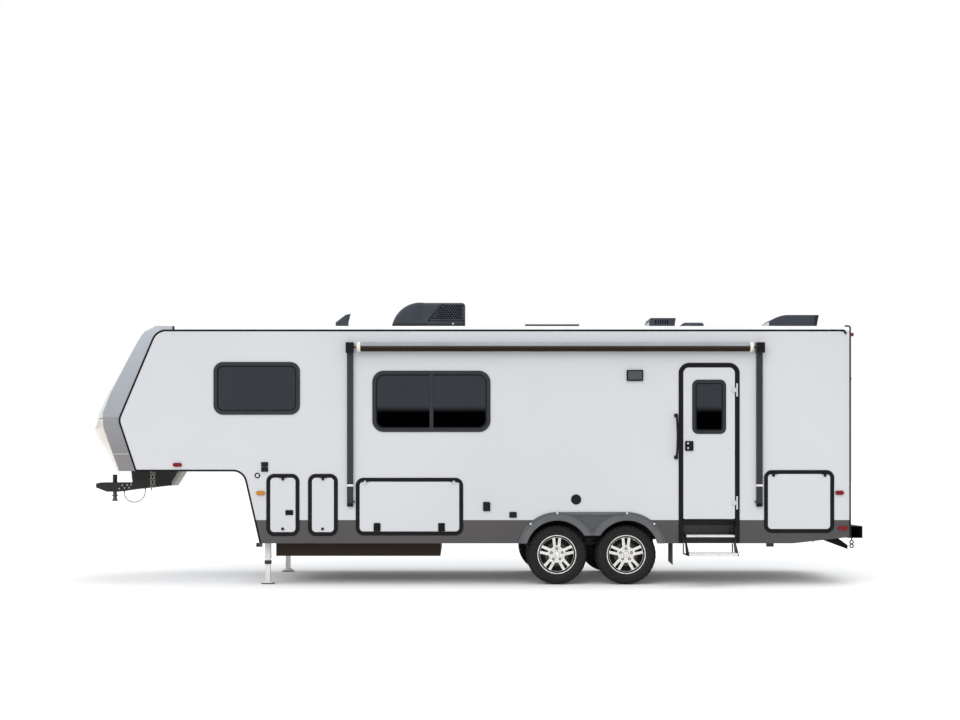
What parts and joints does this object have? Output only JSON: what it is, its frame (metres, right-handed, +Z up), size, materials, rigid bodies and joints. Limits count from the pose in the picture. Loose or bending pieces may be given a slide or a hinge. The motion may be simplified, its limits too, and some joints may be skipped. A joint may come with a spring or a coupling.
{
  "type": "fifth wheel trailer",
  "caption": "Fifth wheel travel trailer with a raised front bedroom, awning, entry door with steps, storage lockers, a slide-out room and tandem wheels, parked on its landing legs.",
  "frame": {"origin": "king pin's axis at the underside of the coupler head; the ground is below it", "axes": "+X rearwards along the trailer, -Y to the entry door's side, +Z up"},
  "size_m": [9.6976, 2.874, 3.5567],
  "materials": {
    "wall_panel": "smooth laminated wall skin",
    "cap_moulding": "moulded cap",
    "skirt_metal": "satin dark grey",
    "black_trim": "satin black",
    "flare_plastic": "grey moulding",
    "black_plastic": "matt black",
    "white_plastic": "white moulding",
    "roof_membrane": "white roof sheet",
    "window_glass": "dark tint",
    "frame_steel": "black chassis paint",
    "leg_steel": "light grey paint",
    "bare_steel": "worn steel",
    "tread_aluminium": "bright",
    "alloy": "machined face with dark pockets",
    "tyre_rubber": "black",
    "deck_wood": "sheet deck",
    "lens_red": "red lens",
    "lens_amber": "amber lens"
  },
  "bodies": {
    "trailer": {"chassis_frame": "frame_steel", "floor_decks": "deck_wood", "basement_pan": "black_plastic", "axles": "frame_steel", "leaf_springs": "frame_steel", "pin_box": "frame_steel", "king_pin": "bare_steel", "pin_cable": "black_plastic", "landing_leg_tubes": "leg_steel", "landing_leg_feet": "leg_steel", "rear_bumper": "frame_steel", "stabilizer_jacks": "frame_steel", "door_side_wall": "wall_panel", "far_side_wall": "wall_panel", "rear_wall": "wall_panel", "front_cap": "cap_moulding", "neck_wall": "wall_panel", "roof": "roof_membrane", "skirts": "skirt_metal", "fender_flares": "flare_plastic", "wheel_wells": "black_plastic", "mud_flaps": "black_plastic", "entry_door_frame": "black_trim", "grab_handle": "black_plastic", "awning_arms": "black_trim", "awning_roller": "black_trim", "air_conditioner": "black_plastic", "roof_covers": "black_plastic", "roof_skylight": "white_plastic", "step_frame": "frame_steel", "step_treads": "tread_aluminium", "window_frames": "black_trim", "window_panes": "window_glass", "locker_frames": "black_trim", "red_lamps": "lens_red", "amber_lamps": "lens_amber", "wall_fittings": "black_plastic"},
    "entry_door": {"entry_door_panel": "wall_panel", "entry_door_window_frame": "black_trim", "entry_door_pane": "window_glass", "entry_door_latch": "black_plastic"},
    "slide_out": {"slide_room": "wall_panel", "slide_window_frame": "black_trim", "slide_window_pane": "window_glass"},
    "front_locker_leaf": {"front_locker_door": "wall_panel"},
    "utility_locker_leaf": {"utility_locker_door": "wall_panel"},
    "pass_through_leaf": {"pass_through_door": "wall_panel"},
    "rear_locker_leaf": {"rear_locker_door": "wall_panel"},
    "far_pass_through_leaf": {"far_pass_through_door": "wall_panel"},
    "wheel_front_door_side": {"tyre_front_door_side": "tyre_rubber", "rim_front_door_side": "alloy"},
    "wheel_front_far_side": {"tyre_front_far_side": "tyre_rubber", "rim_front_far_side": "alloy"},
    "wheel_rear_door_side": {"tyre_rear_door_side": "tyre_rubber", "rim_rear_door_side": "alloy"},
    "wheel_rear_far_side": {"tyre_rear_far_side": "tyre_rubber", "rim_rear_far_side": "alloy"}
  },
  "joints": [
    {"name": "wheel_spin_front_door_side", "type": "hinge", "parent": "trailer", "child": "wheel_front_door_side", "pos_m": [5.698, -1.052, -0.751], "axis": [0, 1, 0], "continuous": true},
    {"name": "wheel_spin_front_far_side", "type": "hinge", "parent": "trailer", "child": "wheel_front_far_side", "pos_m": [5.698, 1.052, -0.751], "axis": [0, 1, 0], "continuous": true},
    {"name": "wheel_spin_rear_door_side", "type": "hinge", "parent": "trailer", "child": "wheel_rear_door_side", "pos_m": [6.547, -1.052, -0.751], "axis": [0, 1, 0], "continuous": true},
    {"name": "wheel_spin_rear_far_side", "type": "hinge", "parent": "trailer", "child": "wheel_rear_far_side", "pos_m": [6.547, 1.052, -0.751], "axis": [0, 1, 0], "continuous": true},
    {"name": "entry_door_swing", "type": "hinge", "parent": "trailer", "child": "entry_door", "pos_m": [7.888, -1.2393, -0.116], "axis": [0, 0, 1], "range_deg": [0, 135]},
    {"name": "front_locker_swing", "type": "hinge", "parent": "trailer", "child": "front_locker_leaf", "pos_m": [2.352, -1.2373, 0.192], "axis": [-1, 0, 0], "range_deg": [0, 165]},
    {"name": "utility_locker_swing", "type": "hinge", "parent": "trailer", "child": "utility_locker_leaf", "pos_m": [2.84, -1.2373, 0.192], "axis": [-1, 0, 0], "range_deg": [0, 165]},
    {"name": "pass_through_swing", "type": "hinge", "parent": "trailer", "child": "pass_through_leaf", "pos_m": [3.8955, -1.2373, 0.144], "axis": [-1, 0, 0], "range_deg": [0, 165]},
    {"name": "rear_locker_swing", "type": "hinge", "parent": "trailer", "child": "rear_locker_leaf", "pos_m": [8.6475, -1.2373, 0.238], "axis": [-1, 0, 0], "range_deg": [0, 165]},
    {"name": "far_pass_through_swing", "type": "hinge", "parent": "trailer", "child": "far_pass_through_leaf", "pos_m": [3.8955, 1.2373, 0.144], "axis": [1, 0, 0], "range_deg": [0, 165]},
    {"name": "slide_out_travel", "type": "slide", "parent": "trailer", "child": "slide_out", "axis": [0, 1, 0], "range_m": [0, 0.75]}
  ]
}
